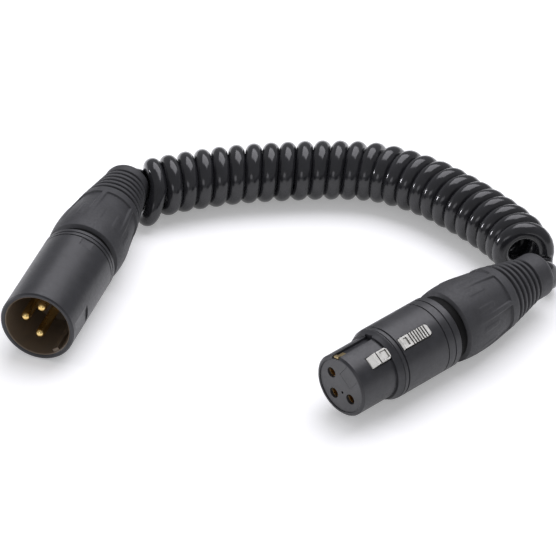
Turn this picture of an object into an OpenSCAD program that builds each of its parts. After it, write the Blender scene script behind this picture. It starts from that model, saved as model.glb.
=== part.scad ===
// Curly microphone patch cable: three-pin male plug, coiled cord, three-socket female plug.
// Millimetres. +Z is up, the floor is z = 0, and the male plug lies along +Y with its mouth towards -Y.

/* [Plugs] */
// Outer diameter of the male shell
shell_d = 19; // [18.6:0.1:19.4]
// Length of the male shell
male_shell_len = 29.8; // [29:0.1:31]
// Depth of the male mouth, down to its insert
mouth_depth = 15.3; // [14.5:0.1:16]
// Diameter of the female nose
nose_d = 15.9; // [15.7:0.1:16]
// Length of the female nose, up to its collar
nose_len = 11.2; // [10.8:0.1:11.6]
// Diameter of the female body
body_d = 18.5; // [18.2:0.1:18.8]
// Length of the female shell
female_shell_len = 32.3; // [32:0.1:33]

/* [Contacts] */
// Diameter of a contact pin
pin_d = 2.38; // [2.36:0.01:2.4]
// Diameter of the circle that the contacts stand on
contact_circle_d = 7.92; // [7.8:0.02:8]
// Distance from the male rim back to the pin tips
pin_setback = 2; // [1.5:0.1:3]

/* [Latch] */
// Width of the latch
latch_w = 3; // [2.6:0.1:3.1]
// Height of the push button above the female body
button_proud = 0.4; // [0.2:0.05:0.6]

/* [Boots] */
// Largest diameter of a boot
boot_d = 19.4; // [19:0.1:19.6]
// Number of grooves near a boot's end
boot_grooves = 6; // [4:1:6]
// Number of shallow grip panels around a boot
boot_panels = 6; // [4:1:8]

/* [Cord] */
// Diameter of the cord
cord_d = 4.3; // [4:0.1:4.4]
// Outer diameter of the coil
coil_d = 15.4; // [15:0.1:15.6]

/* [Placing] */
// Angle between the two plugs, seen from above
female_heading = 28.7; // [26:0.1:30]

/* [Hidden] */
$fn = 96;
eps = 0.01;

// Where the plugs stand: the middle of each mouth, before the whole part is moved to its origin
origin = [-52.5, -31.3];
axis_h = boot_d / 2;
male_pos = [-0.3, 0];
female_pos = [77, -1.2];

// Plug sizes worked out from the driving ones
shell_r = shell_d / 2;
mouth_r = 8.15;
nose_r = nose_d / 2;
body_r = body_d / 2;
pin_r = pin_d / 2;
pin_root_r = pin_r + 0.45;
ring_r = contact_circle_d / 2;
insert_end_male = 24;
insert_end_female = 27.5;
insert_joint = 4.8;
socket_r = 1.21;
key_w = 1.7;
key_offset = 49;
male_roll = -5.4;
female_roll = 54.5;
male_angles = [male_roll - 90, male_roll + 90, male_roll + 180];
female_angles = [female_roll + 90, female_roll - 90, female_roll + 180];
male_gland_z = male_shell_len + 2.2;
female_gland_z = female_shell_len + 2.9;

// Boot sizes: where its grooves start, their pitch and the full length, measured from its front edge,
// and the radius of its end
male_boot = [20.7, 2.07, 35.3, 6];
female_boot = [18.9, 1.83, 34.1, 5.8];
groove_w = 0.8;
groove_depth = 0.65;
cord_r = cord_d / 2;
cord_bore_r = cord_r + 0.12;
core_r = 0.6;

// Latch: its window runs and the pivot, along the plug and out from its axis
front_window = [4.9, nose_len - 0.1];
rear_window = [14.7, 24.4];
latch_pivot = [25.6, 5.6];
slot_w = latch_w + 0.3;

// Cord: centre line of the coil on the floor plan, and the loose end loops
coil_route = [
    [7.8, 70.8], [14, 75.5], [24.5, 81.8], [35.5, 86.7], [47, 91.1], [59, 93.4],
    [72, 91], [83, 85.8], [92, 80.3], [98.8, 75.2], [102.9, 70.8], [104.4, 67.5]
];
male_tail_route = [
    [-0.3, 31.2, 9.7], [-0.3, 46, 9.7], [-0.3, 58, 9.7], [-0.3, 64, 9.7], [-0.3, 67.4, 9.7],
    [0.2, 70.4, 9.4], [1.2, 72.7, 7.4], [2, 72.6, 4.6], [2.8, 70.2, 2.7], [3.8, 66.8, 2.3],
    [5.5, 63.6, 2.3], [7.2, 62, 4.2], [8.2, 63, 7.2], [8.3, 65.9, 10.6], [7, 68.9, 12.5]
];
female_tail_route = [
    [93.01, 28.03, 9.7], [99.49, 39.87, 9.7], [105.25, 50.4, 9.7], [108.61, 56.54, 9.7], [110.05, 59.17, 9.7],
    [111.2, 61.4, 9.4], [111.9, 63, 7.8], [112, 64.2, 5.4], [111.4, 65.8, 3.3], [110.1, 67.8, 2.8], [108.8, 70, 4]
];
coil_r = coil_d / 2;
coil_z = coil_r + 0.05;

// ---- shared shapes ----

// Stands a plug drawn along +Z, mouth at z = 0, on the floor plan
module lay(pos, heading) {
    translate([origin[0] + pos[0], origin[1] + pos[1], axis_h])
        rotate([0, 0, -heading])
            rotate([-90, 0, 0])
                children();
}

module lay_male() {
    lay(male_pos, 0) children();
}

module lay_female() {
    lay(female_pos, female_heading) children();
}

// Turns a child drawn towards +X of the plug to an angle seen from the mouth, anticlockwise from the right
module turned(a) {
    rotate([0, 0, -a]) children();
}

// A bar along the plug between z0 and z1 and between two distances from the axis
module bar(z0, z1, r0, r1, w) {
    translate([r0, -w / 2, z0]) cube([r1 - r0, w, z1 - z0]);
}

// Round rod between two points
module rod(a, b, r) {
    d = b - a;
    translate(a)
        rotate([0, acos(d[2] / norm(d)), atan2(d[1], d[0])])
            cylinder(r = r, h = norm(d), $fn = 32);
}

module ring_groove(z, r, w, depth) {
    translate([0, 0, z - w / 2])
        difference() {
            cylinder(r = r + 1, h = w);
            translate([0, 0, -eps]) cylinder(r = r - depth, h = w + 2 * eps);
        }
}

function contact_xy(a) = [ring_r * cos(a), -ring_r * sin(a)];

// ---- male plug ----

module male_shell() {
    color([0.07, 0.07, 0.08])
        lay_male() {
            difference() {
                rotate_extrude()
                    polygon([
                        [mouth_r + 0.4, 0], [shell_r - 0.35, 0], [shell_r, 0.35],
                        [shell_r, male_shell_len - 0.3], [shell_r - 0.3, male_shell_len],
                        [mouth_r + 0.15, male_shell_len], [mouth_r + 0.15, insert_end_male],
                        [mouth_r, insert_end_male - 0.2], [mouth_r, 0.4]
                    ]);
                for (back = [1.4, 2.7])
                    ring_groove(male_shell_len - back, shell_r, 0.35, 0.2);
                turned(66) bar(24.2, 27.2, shell_r - 0.3, shell_r + 1, 3.1);
                turned(male_roll) {
                    bar(5.2, 9.2, mouth_r - 1, mouth_r + 0.6, latch_w + 1.4);
                    bar(1.6, 10.1, shell_r - 0.38, shell_r + 1, 5.6);
                }
            }
            turned(male_roll - key_offset) bar(0.6, mouth_depth - 0.1, mouth_r - 0.8, mouth_r + 0.2, key_w);
        }
}

module male_insert() {
    color([0.12, 0.1, 0.08])
        lay_male()
            difference() {
                translate([0, 0, mouth_depth])
                    cylinder(r = mouth_r - 0.05, h = insert_end_male - 0.3 - mouth_depth);
                for (a = male_angles)
                    translate([each contact_xy(a), 0]) {
                        cylinder(r = pin_r + 0.01, h = mouth_depth + 1);
                        translate([0, 0, mouth_depth + 0.1]) cylinder(r = pin_root_r + 0.01, h = 40);
                    }
                turned(120) bar(mouth_depth + 2, insert_end_male, mouth_r - 0.5, mouth_r + 1, 3.2);
            }
}

// Pin with a round tip, a thicker root in the insert and an open solder cup at the back
module male_pin(a) {
    color([0.83, 0.64, 0.28])
        lay_male()
            translate([each contact_xy(a), 0]) {
                translate([0, 0, pin_setback + pin_r])
                    cylinder(r = pin_r, h = mouth_depth + 0.2 - pin_setback - pin_r);
                translate([0, 0, pin_setback + pin_r]) sphere(r = pin_r);
                difference() {
                    translate([0, 0, mouth_depth + 0.1])
                        cylinder(r = pin_root_r, h = insert_end_male + 3.9 - mouth_depth);
                    translate([0, 0, insert_end_male + 0.6]) cylinder(r = 0.8, h = 6);
                    turned(a)
                        translate([0.2, -2, insert_end_male + 1.4]) cube([3, 4, 4]);
                }
            }
}

module male_pin_1() { male_pin(male_angles[0]); }
module male_pin_2() { male_pin(male_angles[1]); }
module male_pin_3() { male_pin(male_angles[2]); }

module male_ground_contact() {
    color([0.75, 0.75, 0.74])
        lay_male()
            turned(120) bar(mouth_depth + 2.1, insert_end_male - 0.3, mouth_r - 0.45, mouth_r - 0.25, 3);
}

// ---- female plug ----

module female_shell() {
    color([0.07, 0.07, 0.08])
        lay_female()
            difference() {
                rotate_extrude()
                    polygon([
                        [6.95, 0.1], [7.05, 0], [nose_r - 0.5, 0], [nose_r, 0.5], [nose_r, nose_len],
                        [nose_r + 0.5, nose_len], [body_r - 0.4, nose_len + 0.9],
                        [body_r - 0.1, nose_len + 1.5], [body_r - 0.25, nose_len + 1.6],
                        [body_r - 0.25, nose_len + 1.8], [body_r - 0.05, nose_len + 1.9],
                        [body_r, nose_len + 2.7], [body_r - 0.3, nose_len + 2.8],
                        [body_r - 0.3, nose_len + 3.1], [body_r, nose_len + 3.2],
                        [body_r, female_shell_len - 0.3], [body_r - 0.3, female_shell_len],
                        [8.05, female_shell_len], [8.05, insert_end_female + 0.2],
                        [6.95, insert_end_female + 0.2]
                    ]);
                for (back = [2.2, 4.6])
                    ring_groove(female_shell_len - back, body_r, 0.35, 0.2);
                turned(female_roll + key_offset) bar(-1, nose_len + 0.4, nose_r - 0.75, nose_r + 1, 2.3);
                turned(female_roll) {
                    bar(front_window[0], rear_window[1], 5, 8.1, slot_w);
                    bar(front_window[0], front_window[1], 5, 12, slot_w);
                    bar(rear_window[0], rear_window[1], 5, 12, slot_w);
                    bar(rear_window[1] - 1, 27.2, 5, 7.6, slot_w);
                }
            }
}

module contact_bores() {
    for (a = female_angles)
        translate([each contact_xy(a), 0]) {
            cylinder(r = 1.35, h = 2);
            translate([0, 0, 1]) cylinder(r = 1.76, h = 40);
        }
}

// Front disc of the insert, notched for the key block
module female_insert() {
    color([0.16, 0.16, 0.17])
        lay_female()
            difference() {
                translate([0, 0, 0.25]) cylinder(r = 6.9, h = insert_joint - 0.25);
                contact_bores();
                turned(female_roll) {
                    bar(-1, 6, 2.4, 9, 4.4);
                    translate([-1.05, 1.4, -1]) cylinder(r = 0.35, h = 1.8, $fn = 32);
                }
            }
}

// Rear block of the insert, open at the top for the latch
module female_insert_rear() {
    color([0.16, 0.16, 0.17])
        lay_female()
            difference() {
                translate([0, 0, insert_joint]) cylinder(r = 6.9, h = insert_end_female - insert_joint);
                contact_bores();
                turned(female_roll) {
                    bar(insert_joint - 1, insert_end_female - 0.5, 4.3, 9, latch_w + 0.5);
                    translate([latch_pivot[1], -2.6, latch_pivot[0]])
                        rotate([-90, 0, 0])
                            cylinder(r = 0.65, h = 5.2, $fn = 32);
                }
            }
}

module female_key_block() {
    color([0.18, 0.18, 0.19])
        lay_female()
            turned(female_roll)
                intersection() {
                    bar(0.25, 4.7, 2.45, 9, 4.3);
                    cylinder(r = 6.9, h = 10);
                }
}

// Socket contact: round sleeve that a pin enters, solid behind, and a solder cup
module female_contact(a) {
    color([0.72, 0.5, 0.22])
        lay_female()
            translate([each contact_xy(a), 0])
                difference() {
                    union() {
                        translate([0, 0, 1]) cylinder(r = 1.75, h = 25);
                        translate([0, 0, 25.9]) cylinder(r = 1.25, h = 5.4);
                    }
                    translate([0, 0, 0.5]) cylinder(r = socket_r, h = 15.5);
                    translate([0, 0, insert_end_female + 0.6]) cylinder(r = 0.8, h = 6);
                    turned(a)
                        translate([0.2, -2, insert_end_female + 1]) cube([3, 4, 6]);
                }
}

module female_contact_1() { female_contact(female_angles[0]); }
module female_contact_2() { female_contact(female_angles[1]); }
module female_contact_3() { female_contact(female_angles[2]); }

// Plan of one raised pad of the latch: square in front, rounded corners behind
module latch_pad(z0, z1, r0, r1, corner) {
    translate([r0, 0, 0])
        rotate([0, 90, 0])
            linear_extrude(height = r1 - r0)
                union() {
                    translate([-(z1 - corner), -latch_w / 2]) square([z1 - corner - z0, latch_w]);
                    translate([-z1, -(latch_w / 2 - corner)]) square([z1 - z0, latch_w - 2 * corner]);
                    for (s = [-1, 1])
                        translate([-(z1 - corner), s * (latch_w / 2 - corner)]) circle(r = corner);
                }
}

// Cuts a slope across the latch between two points of its side profile
module latch_slope(profile) {
    translate([0, latch_w, 0])
        rotate([90, 0, 0])
            linear_extrude(height = 2 * latch_w)
                polygon([for (p = profile) [p[1], p[0]]]);
}

module latch() {
    button_r = body_r + button_proud;
    color([0.8, 0.79, 0.76])
        lay_female()
            turned(female_roll) {
                bar(5.1, 24.2, 6.3, 7.4, latch_w);
                difference() {
                    latch_pad(5.1, nose_len - 0.15, 6.4, nose_r + 0.95, 0.9);
                    latch_slope([[4, 7.4], [5.1, 7.4], [6.5, 8.9], [6.5, 12], [4, 12]]);
                    bar(7.5, 7.8, nose_r + 0.75, 12, latch_w + 1);
                    bar(8.6, nose_len - 0.55, nose_r + 0.65, 12, latch_w - 0.8);
                }
                difference() {
                    latch_pad(14.9, 24.2, 6.4, button_r, 0.8);
                    latch_slope([[14, 9], [14.9, 9], [15.3, button_r - 0.05], [15.3, 12], [14, 12]]);
                    bar(16.1, 17.2, button_r - 0.35, 12, latch_w - 0.9);
                    for (i = [0 : 6])
                        bar(18 + 0.82 * i, 18.35 + 0.82 * i, button_r - 0.3, 12, latch_w + 1);
                }
                bar(23.4, latch_pivot[0] + 0.5, latch_pivot[1] - 0.6, 6.9, latch_w);
                translate([latch_pivot[1], -2.5, latch_pivot[0]])
                    rotate([-90, 0, 0])
                        cylinder(r = 0.6, h = 5, $fn = 32);
            }
}

// Closed sleeve of the small return spring under the button
module latch_spring() {
    color([0.7, 0.7, 0.7])
        lay_female()
            turned(female_roll)
                translate([4.35, 0, 20])
                    rotate([0, 90, 0])
                        difference() {
                            cylinder(r = 1.2, h = 1.9, $fn = 32);
                            translate([0, 0, -1]) cylinder(r = 0.85, h = 4, $fn = 32);
                        }
}

module female_ground_contact() {
    color([0.83, 0.66, 0.32])
        lay_female()
            turned(female_roll + key_offset) {
                bar(0.3, 3.2, nose_r - 0.73, nose_r - 0.5, 1.5);
                bar(0.3, 1.1, nose_r - 0.55, nose_r - 0.15, 1.5);
            }
}

// ---- gland parts, alike in both plugs ----

// Split clamp that grips the cord when the bushing is screwed up
module chuck(z0) {
    difference() {
        translate([0, 0, z0])
            rotate_extrude()
                polygon([
                    [cord_bore_r, 0], [5, 0], [5, 8], [3.6, 11.5], [cord_bore_r, 11.5]
                ]);
        for (a = [0, 90])
            rotate([0, 0, a + 45])
                translate([-6, -0.4, z0 + 4]) cube([12, 0.8, 12]);
    }
}

module coding_ring(z0, z1) {
    translate([0, 0, z0])
        difference() {
            cylinder(r = shell_r - 1.2, h = z1 - z0);
            translate([0, 0, -1]) cylinder(r = 7.45, h = 5);
        }
}

// Bushing: threaded neck in the shell, ring seat, and the hard core under the rubber
module bushing(z0, neck_r) {
    difference() {
        union() {
            translate([0, 0, z0 - 7.4]) cylinder(r = neck_r, h = 3.5);
            translate([0, 0, z0 - 4]) cylinder(r = 7.4, h = 4.5);
            translate([0, 0, z0]) cylinder(r = 7.7, h = 15);
        }
        translate([0, 0, z0 - 8]) cylinder(r = 5.6, h = 16);
        translate([0, 0, z0 + 7.9]) cylinder(r1 = 5.2, r2 = cord_bore_r + 0.3, h = 5.2);
        translate([0, 0, z0 + 5]) cylinder(r = cord_bore_r + 0.3, h = 12);
        for (i = [0 : 2])
            ring_groove(z0 - 6.7 + i, neck_r, 0.5, 0.35);
    }
}

// Radius of a boot's barrel at a distance from its front edge
function boot_barrel_r(z, gland) =
    z < 5 ? boot_d / 2 - 0.016 * pow(5 - z, 2)
    : z < 13 ? boot_d / 2 - 0.011 * pow(z - 5, 2)
    : boot_d / 2 - 0.7 - 0.13 * (z - 13) * 20.7 / gland;

module boot_profile(shape) {
    gland = shape[0];
    last = gland + shape[1] * (boot_grooves - 1);
    end = shape[2];
    cap = shape[3];
    polygon([
        [7.75, 0],
        for (z = [0.3 : 1.2 : gland - 0.5]) [boot_barrel_r(z, gland), z],
        [boot_barrel_r(gland - 0.4, gland), gland - 0.4],
        [cap + 0.1, last + groove_w],
        [cap, end - 2],
        for (a = [15 : 15 : 75]) [cap - 2 + 2 * cos(a), end - 2 + 2 * sin(a)],
        [cap - 2, end],
        [cord_bore_r + 0.4, end],
        [cord_bore_r, end - 0.4],
        [cord_bore_r, 15.05],
        [7.75, 15.05]
    ]);
}

// Rubber boot: barrel with shallow grip panels, grooves and a round end
module boot(z0, shape, panel_turn) {
    gland = shape[0];
    panel = 360 / boot_panels;
    translate([0, 0, z0])
        difference() {
            rotate_extrude() boot_profile(shape);
            for (i = [0 : boot_grooves - 1]) {
                r = boot_barrel_r(gland, gland) + (shape[3] - boot_barrel_r(gland, gland)) * i / (boot_grooves - 1);
                ring_groove(gland + shape[1] * i, r, groove_w, groove_depth);
            }
            for (i = [0 : boot_panels - 1])
                rotate([0, 0, -panel_turn + panel * i])
                    rotate_extrude(angle = panel - 6)
                        polygon([
                            for (z = [4.2 : 1.6 : gland - 3.4]) [boot_barrel_r(z, gland) - 0.22, z],
                            [12, gland - 3.5],
                            [12, 4.2]
                        ]);
        }
}

module male_chuck() { color([0.85, 0.85, 0.82]) lay_male() chuck(male_gland_z - 1); }
module female_chuck() { color([0.85, 0.85, 0.82]) lay_female() chuck(female_gland_z - 1); }

module male_ring() {
    color([0.04, 0.04, 0.04]) lay_male() coding_ring(male_shell_len + 0.2, male_gland_z - 0.2);
}

module female_ring() {
    color([0.04, 0.04, 0.04]) lay_female() coding_ring(female_shell_len + 0.3, female_gland_z - 0.3);
}

module male_bushing() { color([0.1, 0.1, 0.1]) lay_male() bushing(male_gland_z, 8.15); }
module female_bushing() { color([0.1, 0.1, 0.1]) lay_female() bushing(female_gland_z, 7.9); }

module male_boot() { color([0.13, 0.13, 0.14]) lay_male() boot(male_gland_z, male_boot, 86); }
module female_boot() { color([0.13, 0.13, 0.14]) lay_female() boot(female_gland_z, female_boot, 82); }

// Insulated wire from a solder cup to the end of the cord
module core(a, cup_z, cord_z) {
    p = contact_xy(a);
    rod([p[0], p[1], cup_z], [p[0] * 0.28, p[1] * 0.28, cord_z], core_r);
}

module male_core(i, c) {
    color(c) lay_male() core(male_angles[i], insert_end_male + 4.1, male_shell_len + 1.35);
}

module female_core(i, c) {
    color(c) lay_female() core(female_angles[i], insert_end_female + 4, female_shell_len + 0.95);
}

module male_core_1() { male_core(0, [0.6, 0.1, 0.1]); }
module male_core_2() { male_core(1, [0.5, 0.5, 0.5]); }
module male_core_3() { male_core(2, [0.85, 0.85, 0.85]); }
module female_core_1() { female_core(0, [0.6, 0.1, 0.1]); }
module female_core_2() { female_core(1, [0.5, 0.5, 0.5]); }
module female_core_3() { female_core(2, [0.85, 0.85, 0.85]); }

// ---- cord ----

function unit(v) = v / norm(v);

// Smooth curve through hand-chosen points, a few steps to each
function knot(p, i) =
    i < 0 ? 2 * p[0] - p[1]
    : i > len(p) - 1 ? 2 * p[len(p) - 1] - p[len(p) - 2]
    : p[i];

function curve_at(p, i, t) =
    0.5 * (2 * knot(p, i)
        + (knot(p, i + 1) - knot(p, i - 1)) * t
        + (2 * knot(p, i - 1) - 5 * knot(p, i) + 4 * knot(p, i + 1) - knot(p, i + 2)) * t * t
        + (3 * knot(p, i) - knot(p, i - 1) - 3 * knot(p, i + 1) + knot(p, i + 2)) * t * t * t);

function smooth(p, steps) = concat(
    [for (i = [0 : len(p) - 2]) for (k = [0 : steps - 1]) curve_at(p, i, k / steps)],
    [p[len(p) - 1]]
);

function tangent(p, i) = unit(p[min(i + 1, len(p) - 1)] - p[max(i - 1, 0)]);

// Frames carried along the curve without twisting
function carried(p, i, n) = let (t = tangent(p, i)) unit(n - (n * t) * t);

function normals(p, i, n) =
    i >= len(p) ? []
    : let (m = carried(p, i, n)) concat([m], normals(p, i + 1, m));

module tube(p, r, sides) {
    n = normals(p, 0, [0, 0, 1]);
    points = [
        for (i = [0 : len(p) - 1])
            let (b = cross(tangent(p, i), n[i]))
                for (k = [0 : sides - 1])
                    p[i] + r * (cos(360 * (k + 0.5) / sides) * n[i] + sin(360 * (k + 0.5) / sides) * b)
    ];
    faces = concat(
        [[for (k = [sides - 1 : -1 : 0]) k]],
        [
            for (i = [0 : len(p) - 2])
                for (k = [0 : sides - 1])
                    let (a = i * sides + k, c = i * sides + (k + 1) % sides)
                        each [[a, c, c + sides], [a, c + sides, a + sides]]
        ],
        [[for (k = [0 : sides - 1]) (len(p) - 1) * sides + k]]
    );
    polyhedron(points = points, faces = faces, convexity = 6);
}

function placed(p) = [for (q = p) [origin[0] + q[0], origin[1] + q[1], q[2]]];

module male_tail() { color([0.05, 0.05, 0.05]) tube(smooth(placed(male_tail_route), 2), cord_r, 8); }
module female_tail() { color([0.05, 0.05, 0.05]) tube(smooth(placed(female_tail_route), 2), cord_r, 8); }

module coil() {
    line = [for (q = coil_route) [q[0], q[1], coil_z]];
    color([0.05, 0.05, 0.05]) tube(smooth(placed(line), 2), coil_r / cos(15), 12);
}

male_shell();
male_insert();
male_pin_1();
male_pin_2();
male_pin_3();
male_ground_contact();
male_chuck();
male_ring();
male_bushing();
male_boot();
male_core_1();
male_core_2();
male_core_3();
female_shell();
female_insert();
female_insert_rear();
female_key_block();
female_contact_1();
female_contact_2();
female_contact_3();
latch();
latch_spring();
female_ground_contact();
female_chuck();
female_ring();
female_bushing();
female_boot();
female_core_1();
female_core_2();
female_core_3();
male_tail();
coil();
female_tail();
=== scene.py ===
"""Looks of the curly microphone patch cable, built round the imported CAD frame. Metres, row frame, +Z up."""
import math

import bmesh
import bpy
from mathutils import Matrix, Vector


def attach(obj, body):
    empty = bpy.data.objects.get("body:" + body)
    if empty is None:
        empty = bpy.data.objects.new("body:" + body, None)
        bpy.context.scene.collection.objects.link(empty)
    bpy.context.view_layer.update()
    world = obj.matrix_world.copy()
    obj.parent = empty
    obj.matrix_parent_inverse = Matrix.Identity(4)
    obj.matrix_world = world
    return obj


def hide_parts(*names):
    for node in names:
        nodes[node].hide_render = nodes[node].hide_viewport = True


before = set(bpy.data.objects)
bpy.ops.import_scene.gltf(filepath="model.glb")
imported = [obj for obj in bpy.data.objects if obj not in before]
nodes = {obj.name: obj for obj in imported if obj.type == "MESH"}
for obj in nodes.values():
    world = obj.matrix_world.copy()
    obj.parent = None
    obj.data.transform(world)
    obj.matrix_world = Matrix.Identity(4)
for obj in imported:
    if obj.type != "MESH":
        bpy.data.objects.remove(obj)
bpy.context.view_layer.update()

MM = 0.001

# ---- where the plugs lie, as in the CAD ----

MALE_MOUTH = Vector((-52.8, -31.3, 9.7))
FEMALE_MOUTH = Vector((24.5, -32.5, 9.7))
FEMALE_HEADING = 28.7
MALE_ROLL = -5.4


def plug_place(mouth, heading):
    """Matrix from a plug's own millimetres, mouth at 0 and axis +Z, to the row frame in metres."""
    turn = Matrix.Rotation(math.radians(-heading), 4, "Z") @ Matrix.Rotation(math.radians(-90), 4, "X")
    return Matrix.Scale(MM, 4) @ Matrix.Translation(mouth) @ turn


MALE = plug_place(MALE_MOUTH, 0)
FEMALE = plug_place(FEMALE_MOUTH, FEMALE_HEADING)


# ---- small mesh and curve tools ----


def new_object(name, data, body):
    piece = bpy.data.objects.new(name, data)
    bpy.context.scene.collection.objects.link(piece)
    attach(piece, body)
    return piece


def lathe(name, rows, segments, place, body, material, radius):
    """A turned piece: rows are heights along a plug, radius(z, angle) gives its surface in millimetres."""
    points, faces = [], []
    for z in rows:
        for k in range(segments):
            angle = 2 * math.pi * k / segments
            r = radius(z, math.degrees(angle))
            points.append(place @ Vector((r * math.cos(angle), -r * math.sin(angle), z)))
    for i in range(len(rows) - 1):
        for k in range(segments):
            a, b = i * segments + k, i * segments + (k + 1) % segments
            faces.append((a, b, b + segments, a + segments))
    faces.append(tuple(range(segments - 1, -1, -1)))
    faces.append(tuple((len(rows) - 1) * segments + k for k in range(segments)))
    return smooth_mesh(name, points, faces, body, material)


def smooth_mesh(name, points, faces, body, material):
    mesh = bpy.data.meshes.new(name)
    mesh.from_pydata(points, [], faces)
    mesh.polygons.foreach_set("use_smooth", [True] * len(mesh.polygons))
    work = bmesh.new()
    work.from_mesh(mesh)
    bmesh.ops.recalc_face_normals(work, faces=work.faces)
    work.to_mesh(mesh)
    work.free()
    mesh.materials.append(material)
    return new_object(name, mesh, body)


def smoothstep(low, high, x):
    t = min(max((x - low) / (high - low), 0.0), 1.0)
    return t * t * (3 - 2 * t)


def catmull(points, steps):
    """Smooth curve through points, with a number of steps between two of them."""
    ends = [points[0] * 2 - points[1]] + list(points) + [points[-1] * 2 - points[-2]]
    line = []
    for a, b, c, d in zip(ends, ends[1:], ends[2:], ends[3:]):
        for k in range(steps):
            t = k / steps
            line.append(
                0.5 * (2 * b + (c - a) * t + (2 * a - 5 * b + 4 * c - d) * t**2 + (3 * b - a - 3 * c + d) * t**3)
            )
    line.append(points[-1].copy())
    return line


# ---- cord ----

CORD_D = 4.4
CORD_START = Vector((-52.5, -31.3, 0))
COIL_MEAN_R = 5.5
COIL_END_R = 5.6
COIL_Z = 7.85
COIL_PITCH = 4.38
COIL_PHASE = 92
HELIX_RUN = (2.8, 113.6)
TURN_STEPS = 28
CORD_SIDES = 20

MALE_TAIL = [
    (-0.3, 31.2, 9.7), (-0.3, 46, 9.7), (-0.3, 58, 9.7), (-0.3, 64, 9.7), (-0.3, 67.4, 9.7),
    (0.2, 70.4, 9.4), (1.2, 72.7, 7.4), (2, 72.6, 4.6), (2.8, 70.2, 2.7), (3.8, 66.8, 2.3),
    (5.5, 63.6, 2.3), (7.2, 62, 4.2), (8.2, 63, 7.2), (8.3, 65.9, 10.6),
]
COIL_ROUTE = [
    (3.8, 67.7), (7.8, 70.8), (14, 75.5), (24.5, 81.8), (35.5, 86.7), (47, 91.1), (59, 93.4),
    (72, 91), (83, 85.8), (92, 80.3), (98.8, 75.2), (102.9, 70.8), (104.4, 67.5),
]
FEMALE_TAIL = [
    (108.8, 70, 4), (110.1, 67.8, 2.8), (111.4, 65.8, 3.3), (112, 64.2, 5.4), (111.9, 63, 7.8),
    (111.2, 61.4, 9.4), (110.05, 59.17, 9.7), (108.61, 56.54, 9.7), (105.25, 50.4, 9.7), (99.49, 39.87, 9.7),
    (93.01, 28.03, 9.7),
]


def helix_points():
    """Turns of the coil round its centre line, worked out along the line's own length."""
    centre = catmull([Vector((x, y, COIL_Z)) for x, y in COIL_ROUTE], 40)
    run = [0.0]
    for a, b in zip(centre, centre[1:]):
        run.append(run[-1] + (b - a).length)
    start, end = HELIX_RUN
    count = round((end - start) / COIL_PITCH * TURN_STEPS)
    up = Vector((0, 0, 1))
    points = []
    i = 0
    for k in range(count + 1):
        s = start + (end - start) * k / count
        while i < len(run) - 2 and run[i + 1] < s:
            i += 1
        part = (s - run[i]) / (run[i + 1] - run[i])
        middle = centre[i].lerp(centre[i + 1], part)
        along = (centre[min(i + 2, len(centre) - 1)] - centre[max(i - 1, 0)]).normalized()
        side = along.cross(up).normalized()
        phase = math.radians(COIL_PHASE + 360 * (s - start) / COIL_PITCH)
        wide = smoothstep(end - 4 * COIL_PITCH, end, s)
        radius = COIL_MEAN_R + (COIL_END_R - COIL_MEAN_R) * wide
        points.append(middle + radius * (math.cos(phase) * side + math.sin(phase) * up))
    return points


def cord_line():
    head = [Vector(p) for p in MALE_TAIL]
    tail = [Vector(p) for p in FEMALE_TAIL]
    helix = helix_points()
    start = catmull(head + helix[:2], 6)[: len(head) * 6]
    finish = catmull(helix[-2:] + tail, 6)[6:]
    return [(p + CORD_START) * MM for p in start + helix[1:-1] + finish]


def make_cord():
    line = cord_line()
    normal = Vector((1, 0, 0))
    points, faces = [], []
    for i, place in enumerate(line):
        along = (line[min(i + 1, len(line) - 1)] - line[max(i - 1, 0)]).normalized()
        normal = (normal - normal.dot(along) * along).normalized()
        side = along.cross(normal)
        for k in range(CORD_SIDES):
            a = 2 * math.pi * k / CORD_SIDES
            points.append(place + CORD_D / 2 * MM * (math.cos(a) * normal + math.sin(a) * side))
    for i in range(len(line) - 1):
        for k in range(CORD_SIDES):
            a, b = i * CORD_SIDES + k, i * CORD_SIDES + (k + 1) % CORD_SIDES
            faces.append((a, b, b + CORD_SIDES, a + CORD_SIDES))
    faces.append(tuple(range(CORD_SIDES)))
    faces.append(tuple((len(line) - 1) * CORD_SIDES + k for k in range(CORD_SIDES)))
    cord = smooth_mesh("curly_cord", points, faces, "plugs_and_cord", cord_jacket())
    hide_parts("male_tail", "coil", "female_tail")
    return cord


# ---- boots and pins ----

BOOT_R = 9.7
GROOVES = 6
GROOVE_W = 0.8
GROOVE_DEPTH = 0.75
PANEL = 60
PANEL_WIDTH = 54
PANEL_DEPTH = 0.5
PAD_ANGLES = (13, 42)
PAD_RUN = (4.6, 10.2)


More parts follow.
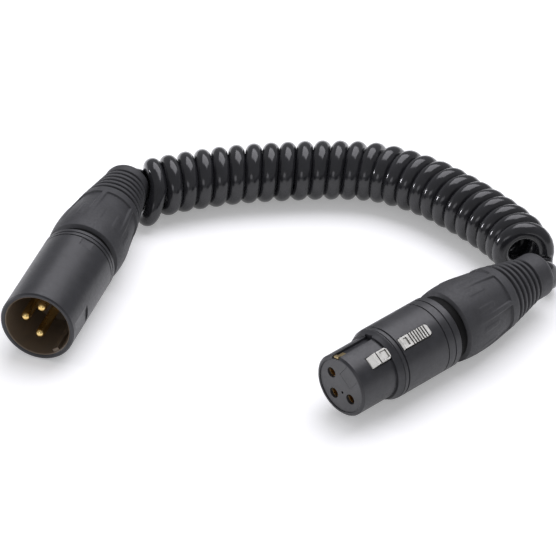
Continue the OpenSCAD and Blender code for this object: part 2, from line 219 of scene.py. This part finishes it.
class Boot:
    """Surface of a rubber boot: barrel, grip panels with raised pads, grooves and a round end."""

    def __init__(self, front, grooves_start, pitch, length, cap, turn):
        self.front = front
        self.start = grooves_start
        self.pitch = pitch
        self.length = length
        self.cap = cap
        self.turn = turn
        self.last = grooves_start + pitch * (GROOVES - 1)

    def barrel(self, z):
        if z < 5:
            return BOOT_R - 0.016 * (5 - z) ** 2
        if z < 13:
            return BOOT_R - 0.011 * (z - 5) ** 2
        if z < self.start:
            return BOOT_R - 0.7 - 0.13 * (z - 13) * 20.7 / self.start
        edge = BOOT_R - 0.7 - 0.13 * (self.start - 13) * 20.7 / self.start
        if z < self.last + GROOVE_W:
            return edge + (self.cap + 0.1 - edge) * (z - self.start) / (self.last + GROOVE_W - self.start)
        if z < self.length - 2:
            return self.cap
        t = min((z - self.length + 2) / 2, 1)
        return self.cap - 2 + 2 * math.sqrt(max(1 - t * t, 0))

    def panel(self, z, angle):
        """How deep the surface lies under the barrel, less the height of a pad."""
        across = (self.turn - angle) % PANEL
        inside = smoothstep(0, 2.5, across) * (1 - smoothstep(PANEL_WIDTH - 2.5, PANEL_WIDTH, across))
        end = self.start - 3.4
        depth = PANEL_DEPTH * smoothstep(1.5, end, z) * (1 - smoothstep(end, end + 0.3, z))
        pad = 0
        for middle in PAD_ANGLES:
            sideways = (across - middle) * math.radians(BOOT_R - 0.4)
            beyond = max(PAD_RUN[0] + 0.6 - z, z - PAD_RUN[1] + 0.6, 0)
            pad = max(pad, 1 - smoothstep(0.45, 0.8, math.hypot(sideways, beyond)))
        return inside * (depth - 0.12 * pad)

    def radius(self, z, angle):
        z -= self.front
        r = self.barrel(z)
        if z < self.start - 1:
            return r - self.panel(z, angle)
        for i in range(GROOVES):
            off = (z - self.start - self.pitch * i) / (GROOVE_W / 2)
            r -= GROOVE_DEPTH * math.exp(-(off**4)) + 0.1 * math.exp(-(abs(off) / 2.2) ** 2)
        return r

    def rows(self):
        rows = [k * 0.3 for k in range(int((self.start - 4) / 0.3))]
        z = rows[-1]
        while z < self.length - 0.1:
            z += 0.1
            rows.append(z)
        rows += [self.length - 0.05, self.length]
        return [self.front + z for z in rows]


def make_boots():
    rubber = boot_rubber()
    for name, body, place, boot in (
        ("male_boot", "male_gland", MALE, Boot(32.0, 20.7, 2.07, 35.3, 6.0, 86)),
        ("female_boot", "female_gland", FEMALE, Boot(35.2, 18.9, 1.83, 34.1, 5.8, 82)),
    ):
        piece = lathe(f"{name}_rubber", boot.rows(), 300, place, body, rubber, boot.radius)
        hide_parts(name)


PIN_R = 1.19
PIN_TIP = 2.0
PIN_CIRCLE_R = 3.96


def make_pins():
    """Smooth round pins, from the tip down into the insert."""
    metal = pin_gold()
    tip = [PIN_TIP + PIN_R - PIN_R * math.cos(math.radians(a)) for a in range(3, 91, 6)]
    rows = tip + [6, 9, 12, 15, 18, 24]

    def radius(z, angle):
        return PIN_R * math.sqrt(max(1 - min((z - PIN_TIP) / PIN_R - 1, 0) ** 2, 0))

    for i, angle in enumerate((MALE_ROLL - 90, MALE_ROLL + 90, MALE_ROLL + 180)):
        a = math.radians(angle)
        offset = Matrix.Translation((PIN_CIRCLE_R * math.cos(a), -PIN_CIRCLE_R * math.sin(a), 0))
        piece = lathe(
            f"male_pin_{i + 1}_gold", rows, 48, MALE @ offset, "plugs_and_cord", metal, radius
        )
        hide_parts(f"male_pin_{i + 1}")


# ---- materials ----


class Shade:
    """A node material with one Principled shader, and short calls for what feeds it."""

    def __init__(self, name, colour, roughness, metallic=0.0):
        self.material = bpy.data.materials.new(name)
        self.material.use_nodes = True
        self.tree = self.material.node_tree
        self.shader = self.tree.nodes["Principled BSDF"]
        self.shader.inputs["Base Color"].default_value = (*colour, 1)
        self.shader.inputs["Roughness"].default_value = roughness
        self.shader.inputs["Metallic"].default_value = metallic
        self.coords = self.tree.nodes.new("ShaderNodeTexCoord")
        self.height = None

    def node(self, kind, **settings):
        made = self.tree.nodes.new(kind)
        for key, value in settings.items():
            setattr(made, key, value)
        return made

    def link(self, output, socket):
        self.tree.links.new(output, socket)

    def set(self, name, value):
        self.shader.inputs[name].default_value = value

    def noise(self, scale, detail=3.0, roughness=0.5, stretch=None):
        """Noise in object space: a scale of 1000 gives spots about a millimetre across."""
        noise = self.node("ShaderNodeTexNoise")
        noise.inputs["Scale"].default_value = scale
        noise.inputs["Detail"].default_value = detail
        noise.inputs["Roughness"].default_value = roughness
        source = self.coords.outputs["Object"]
        if stretch:
            mapping = self.node("ShaderNodeMapping")
            mapping.inputs["Rotation"].default_value = stretch[0]
            mapping.inputs["Scale"].default_value = stretch[1]
            self.link(source, mapping.inputs["Vector"])
            source = mapping.outputs["Vector"]
        self.link(source, noise.inputs["Vector"])
        return noise.outputs["Fac"]

    def ramp(self, value, low, high, at=(0.3, 0.7)):
        """A value or a colour that goes from low to high between two places."""
        ramp = self.node("ShaderNodeValToRGB")
        stops = ramp.color_ramp.elements
        for stop, place, colour in zip(stops, at, (low, high)):
            stop.position = place
            stop.color = (*colour, 1) if isinstance(colour, tuple) else (colour, colour, colour, 1)
        self.link(value, ramp.inputs["Fac"])
        return ramp.outputs["Color"]

    def colour(self, value, low, high, at=(0.3, 0.7)):
        self.link(self.ramp(value, low, high, at), self.shader.inputs["Base Color"])

    def rough(self, value, low, high, at=(0.3, 0.7)):
        self.link(self.ramp(value, low, high, at), self.shader.inputs["Roughness"])

    def bump(self, value, depth_mm, strength=1.0):
        """Adds a bump whose full height is depth_mm."""
        bump = self.node("ShaderNodeBump")
        bump.inputs["Strength"].default_value = strength
        bump.inputs["Distance"].default_value = depth_mm * MM
        self.link(value, bump.inputs["Height"])
        if self.height:
            self.link(self.height, bump.inputs["Normal"])
        self.height = bump.outputs["Normal"]
        self.link(self.height, self.shader.inputs["Normal"])

    def soften_edges(self, radius_mm):
        """Rounds sharp edges in the light, by a radius."""
        bevel = self.node("ShaderNodeBevel", samples=6)
        bevel.inputs["Radius"].default_value = radius_mm * MM
        if self.height:
            self.link(self.height, bevel.inputs["Normal"])
        self.height = bevel.outputs["Normal"]
        self.link(self.height, self.shader.inputs["Normal"])


def cord_jacket():
    s = Shade("cord_jacket", (0.012, 0.012, 0.014), 0.2)
    s.colour(s.noise(180), (0.014, 0.014, 0.016), (0.022, 0.022, 0.025))
    s.rough(s.noise(900, 4), 0.12, 0.2)
    s.bump(s.noise(420, 2), 0.04, 0.6)
    s.bump(s.noise(5200, 3), 0.004, 0.5)
    return s.material


def paint_mouth_light(s):
    """The bare wall of the male mouth, found by its distance from the plug's axis, is painted a light brown:
    painted reflected light.
    """
    off = s.node("ShaderNodeVectorMath", operation="MULTIPLY_ADD")
    off.inputs[1].default_value = (1, 0, 1)
    off.inputs[2].default_value = (-MALE_MOUTH.x * MM, 0, -MALE_MOUTH.z * MM)
    s.link(s.coords.outputs["Object"], off.inputs[0])
    away = s.node("ShaderNodeVectorMath", operation="LENGTH")
    s.link(off.outputs["Vector"], away.inputs[0])
    inside = s.node("ShaderNodeMath", operation="LESS_THAN")
    inside.inputs[1].default_value = 8.35 * MM
    s.link(away.outputs["Value"], inside.inputs[0])
    base = s.shader.inputs["Base Color"]
    mix = s.node("ShaderNodeMix", data_type="RGBA")
    s.link(inside.outputs["Value"], mix.inputs[0])
    s.link(base.links[0].from_socket, mix.inputs[6])
    # painted reflected light: a light brown on the wall inside the male mouth, far lighter than the enamel
    mix.inputs[7].default_value = (0.16, 0.12, 0.085, 1)
    s.link(mix.outputs[2], base)


def shell_enamel():
    s = Shade("shell_enamel", (0.02, 0.02, 0.022), 0.38)
    s.colour(s.noise(420, 4), (0.017, 0.017, 0.020), (0.025, 0.025, 0.029))
    # painted reflected light on the wall inside the male mouth
    paint_mouth_light(s)
    s.rough(s.noise(1500, 5, 0.6), 0.34, 0.47)
    s.soften_edges(0.12)
    s.bump(s.noise(7000, 4, 0.6), 0.012, 0.5)
    return s.material


def boot_rubber():
    s = Shade("boot_rubber", (0.028, 0.028, 0.031), 0.6)
    s.colour(s.noise(260, 4), (0.026, 0.026, 0.029), (0.036, 0.036, 0.040))
    s.rough(s.noise(1800, 4), 0.52, 0.66)
    s.bump(s.noise(5200, 3, 0.6), 0.02, 0.6)
    return s.material


def plain_plastic(name, colour, roughness, specular=0.5):
    s = Shade(name, colour, roughness)
    s.set("Specular IOR Level", specular)
    low = tuple(0.85 * c for c in colour)
    high = tuple(1.2 * c for c in colour)
    s.colour(s.noise(300, 3), low, high)
    s.rough(s.noise(2200, 3), roughness - 0.06, roughness + 0.08)
    s.soften_edges(0.08)
    s.bump(s.noise(6000, 3), 0.01, 0.5)
    return s.material


def plated_metal(name, low, high, roughness, grain):
    """Bright metal with fine rubbed lines; grain gives the turn and the scale of the lines."""
    s = Shade(name, high, roughness, 1.0)
    s.colour(s.noise(500, 4), low, high)
    s.rough(s.noise(1400, 5, 0.6, grain), roughness - 0.06, roughness + 0.12)
    s.soften_edges(0.08)
    s.bump(s.noise(2500, 4, 0.6, grain), 0.004, 0.5)
    # painted shade: a dark brown darkens the grooves and recesses of the plated parts
    paint_recess_shade(s, (0.05, 0.045, 0.04), 0.4)
    return s.material


def paint_recess_shade(s, colour, reach_mm):
    """Darkens what lies in grooves and under edges with painted shade."""
    base = s.shader.inputs["Base Color"]
    # painted shade: occlusion within reach_mm sets how dark the recesses get
    occlusion = s.node("ShaderNodeAmbientOcclusion", samples=16)
    occlusion.inputs["Distance"].default_value = reach_mm * MM
    mix = s.node("ShaderNodeMix", data_type="RGBA")
    mix.inputs[6].default_value = (*colour, 1)
    fac = s.ramp(occlusion.outputs["AO"], 0.0, 1.0, (0.45, 0.85))
    s.link(fac, mix.inputs[0])
    s.link(base.links[0].from_socket, mix.inputs[7])
    s.link(mix.outputs[2], base)


def pin_gold():
    s = Shade("pin_gold", (0.95, 0.72, 0.32), 0.2, 1.0)
    s.colour(s.noise(500, 3), (0.82, 0.56, 0.20), (0.96, 0.73, 0.33))
    s.rough(s.noise(1400, 4), 0.16, 0.28)
    s.bump(s.noise(3000, 3), 0.002, 0.4)
    return s.material


def assign(material, *names):
    for name in names:
        mesh = nodes[name].data
        mesh.materials.clear()
        mesh.materials.append(material)


def paint_cad_nodes():
    along_female = ((0, 0, math.radians(FEMALE_HEADING)), (1, 0.1, 1))
    assign(shell_enamel(), "male_shell", "female_shell")
    assign(plain_plastic("male_insert_plastic", (0.13, 0.10, 0.07), 0.4), "male_insert")
    face = plain_plastic("female_insert_plastic", (0.045, 0.045, 0.048), 0.42)
    assign(face, "female_insert", "female_insert_rear", "female_key_block")
    dull_gold = plated_metal("contact_gold", (0.60, 0.38, 0.14), (0.80, 0.55, 0.24), 0.3, along_female)
    assign(dull_gold, "female_contact_1", "female_contact_2", "female_contact_3")
    brass = plated_metal("ground_brass", (0.30, 0.23, 0.12), (0.42, 0.33, 0.18), 0.3, along_female)
    assign(brass, "female_ground_contact")
    nickel = plated_metal("latch_nickel", (0.66, 0.65, 0.61), (0.74, 0.73, 0.69), 0.3, along_female)
    assign(nickel, "latch")
    steel = plated_metal("spring_steel", (0.50, 0.50, 0.50), (0.66, 0.66, 0.66), 0.3, along_female)
    assign(steel, "latch_spring", "male_ground_contact")
    # near black with little specular: the rings' own black, deepened into painted shade of the gap between shell
    # and boot
    assign(plain_plastic("ring_plastic", (0.005, 0.005, 0.005), 0.6, 0.1), "male_ring", "female_ring")
    assign(plain_plastic("bushing_plastic", (0.02, 0.02, 0.021), 0.45), "male_bushing", "female_bushing")
    assign(plain_plastic("chuck_plastic", (0.62, 0.60, 0.54), 0.4), "male_chuck", "female_chuck")
    assign(plain_plastic("core_shield", (0.03, 0.03, 0.03), 0.5), "male_core_1", "female_core_1")
    assign(plain_plastic("core_red", (0.40, 0.03, 0.03), 0.35), "male_core_2", "female_core_2")
    assign(plain_plastic("core_white", (0.72, 0.72, 0.70), 0.35), "male_core_3", "female_core_3")


# ---- studio ----


def make_studio():
    size = 3.0
    mesh = bpy.data.meshes.new("studio_floor")
    corners = [(-size, -size, 0), (size, -size, 0), (size, size, 0), (-size, size, 0)]
    mesh.from_pydata(corners, [], [(0, 1, 2, 3)])
    floor = bpy.data.objects.new("studio_floor", mesh)
    bpy.context.scene.collection.objects.link(floor)
    s = Shade("studio_floor", (0.9, 0.9, 0.9), 0.7)
    s.colour(s.noise(3, 2), (0.89, 0.89, 0.89), (0.91, 0.91, 0.91))
    s.set("Emission Color", (1, 1, 1, 1))
    s.set("Emission Strength", 0.28)
    mesh.materials.append(s.material)

    world = bpy.data.worlds.new("studio_world")
    world.use_nodes = True
    world.node_tree.nodes["Background"].inputs["Color"].default_value = (0.96, 0.97, 1, 1)
    world.node_tree.nodes["Background"].inputs["Strength"].default_value = 0.36
    bpy.context.scene.world = world

    softbox("top_softbox", (0.05, 0.42, 0.85), (0, 0.02, 0), (1.0, 0.85), 8.5)
    softbox("side_strip", (-0.8, -0.04, 0.14), (0, 0.05, 0), (0.07, 0.14), 1.6)
    softbox("front_fill", (-0.15, -0.95, 0.35), (0, 0, 0), (0.5, 0.3), 0.8)


def softbox(name, place, target, size, power):
    light = bpy.data.lights.new(name, "AREA")
    light.shape = "RECTANGLE"
    light.size, light.size_y = size
    light.energy = power
    light.color = (0.95, 0.94, 1.0)
    lamp = bpy.data.objects.new(name, light)
    bpy.context.scene.collection.objects.link(lamp)
    lamp.location = place
    lamp.rotation_euler = (Vector(target) - Vector(place)).to_track_quat("-Z", "Y").to_euler()


def make_camera():
    place = Vector((0.24146, -0.76441, 0.5677))
    target = Vector((-0.00755, 0.01963, 0))
    camera = bpy.data.cameras.new("camera")
    camera.sensor_width = 36
    camera.lens = 257.46
    camera.clip_start = 0.01
    viewer = bpy.data.objects.new("camera", camera)
    bpy.context.scene.collection.objects.link(viewer)
    viewer.location = place
    viewer.rotation_euler = (target - place).to_track_quat("-Z", "Y").to_euler()
    bpy.context.scene.camera = viewer


make_camera()
make_cord()
make_boots()
make_pins()
paint_cad_nodes()
make_studio()

bpy.context.scene.view_settings.view_transform = "Standard"
